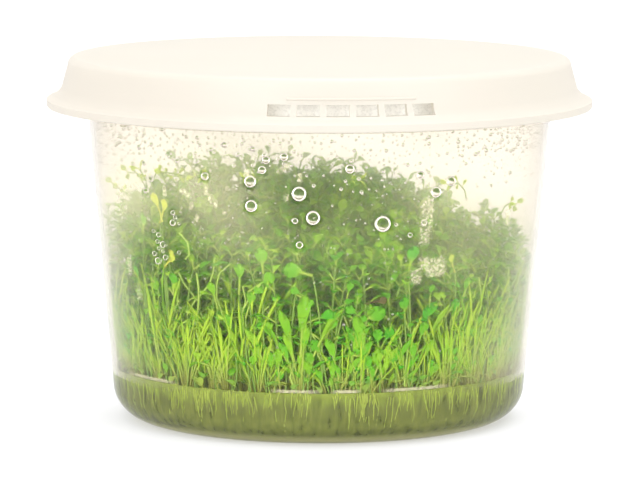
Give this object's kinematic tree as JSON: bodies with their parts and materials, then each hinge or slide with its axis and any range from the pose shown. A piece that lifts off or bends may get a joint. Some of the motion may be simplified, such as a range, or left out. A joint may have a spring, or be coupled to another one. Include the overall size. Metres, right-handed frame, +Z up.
{
  "type": "aquarium plant in a culture tub",
  "caption": "Small-leaved carpet plant, grown dense and upright on agar gel in a round clear tub with a milky push-on lid",
  "frame": {"origin": "centre of the tub's flat underside", "axes": "+Z up along the tub's axis, -Y towards the front with the lid's row of tamper slots, +X to the viewer's right"},
  "size_m": [0.1284, 0.1284, 0.0855],
  "materials": {
    "clear_polypropylene": "moulded clear polypropylene, slightly frosted, wet with condensation inside",
    "milky_polypropylene": "moulded milky polypropylene, satin",
    "agar_gel": "clear olive agar gel with roots in it",
    "leaf_green": "soft fresh green leaf and stem"
  },
  "bodies": {
    "root": {"cup": "clear_polypropylene", "lid": "milky_polypropylene", "gel": "agar_gel", "plantlet_01": "leaf_green", "plantlet_02": "leaf_green", "plantlet_03": "leaf_green", "plantlet_04": "leaf_green", "plantlet_05": "leaf_green", "plantlet_06": "leaf_green", "plantlet_07": "leaf_green", "plantlet_08": "leaf_green", "plantlet_09": "leaf_green", "plantlet_10": "leaf_green", "plantlet_11": "leaf_green", "plantlet_12": "leaf_green", "plantlet_13": "leaf_green", "plantlet_14": "leaf_green", "plantlet_15": "leaf_green", "plantlet_16": "leaf_green", "plantlet_17": "leaf_green", "plantlet_18": "leaf_green", "plantlet_19": "leaf_green", "plantlet_20": "leaf_green", "plantlet_21": "leaf_green", "plantlet_22": "leaf_green", "plantlet_23": "leaf_green", "plantlet_24": "leaf_green", "plantlet_25": "leaf_green", "plantlet_26": "leaf_green", "plantlet_27": "leaf_green", "plantlet_28": "leaf_green", "plantlet_29": "leaf_green", "plantlet_30": "leaf_green", "plantlet_31": "leaf_green", "plantlet_32": "leaf_green", "plantlet_33": "leaf_green", "plantlet_34": "leaf_green", "plantlet_35": "leaf_green", "plantlet_36": "leaf_green", "plantlet_37": "leaf_green"}
  },
  "joints": []
}
